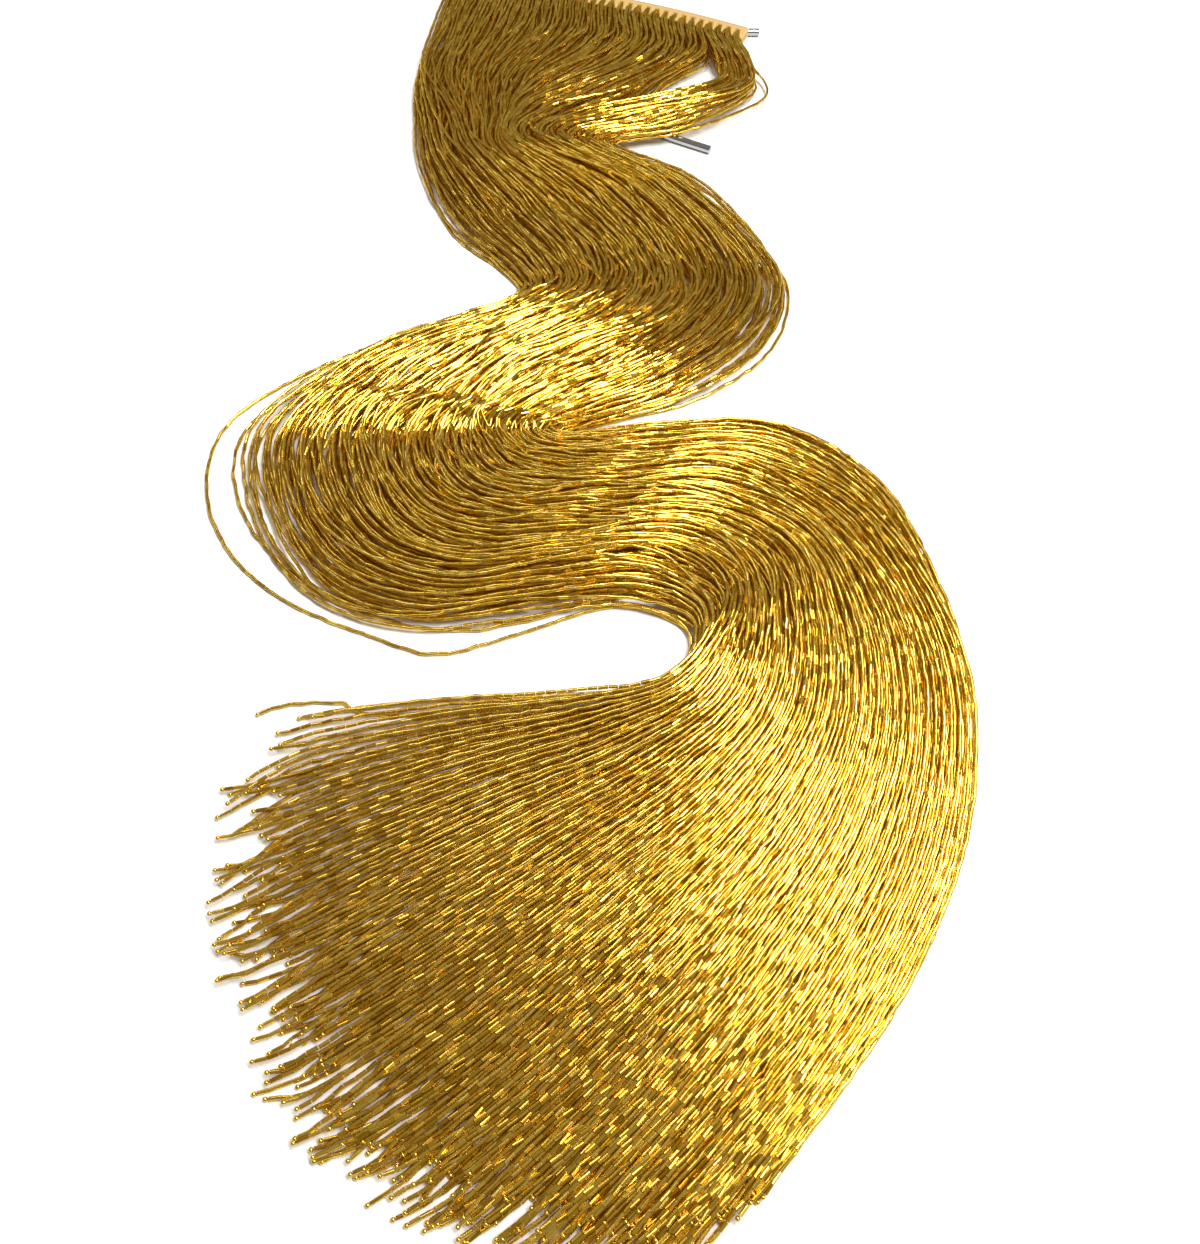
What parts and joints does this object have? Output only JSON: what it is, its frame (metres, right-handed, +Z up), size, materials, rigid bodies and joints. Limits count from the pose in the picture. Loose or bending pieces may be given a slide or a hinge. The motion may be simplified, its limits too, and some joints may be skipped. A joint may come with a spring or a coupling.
{
  "type": "beaded fringe trim on steel rods",
  "caption": "Long fringe of gold glass bugle-bead strands on a folded heading tape, laid in soft bends with fanned, uneven tips, on plain steel rods.",
  "frame": {"origin": "on the table, under the middle of the laid trim", "axes": "+Y towards the heading, so that the tips lie towards -Y; +X to the right as seen from the tips; +Z up"},
  "size_m": [0.3944, 0.8194, 0.0181],
  "materials": {
    "glass_beads": "silver-lined gold glass",
    "heading_ribbon": "woven ribbon",
    "rod_steel": "polished"
  },
  "bodies": {
    "root": {"bead_fringe_lower": "glass_beads", "bead_fringe_upper": "glass_beads", "heading_tape": "heading_ribbon", "rod_upper": "rod_steel", "rod_lower": "rod_steel"}
  },
  "joints": []
}
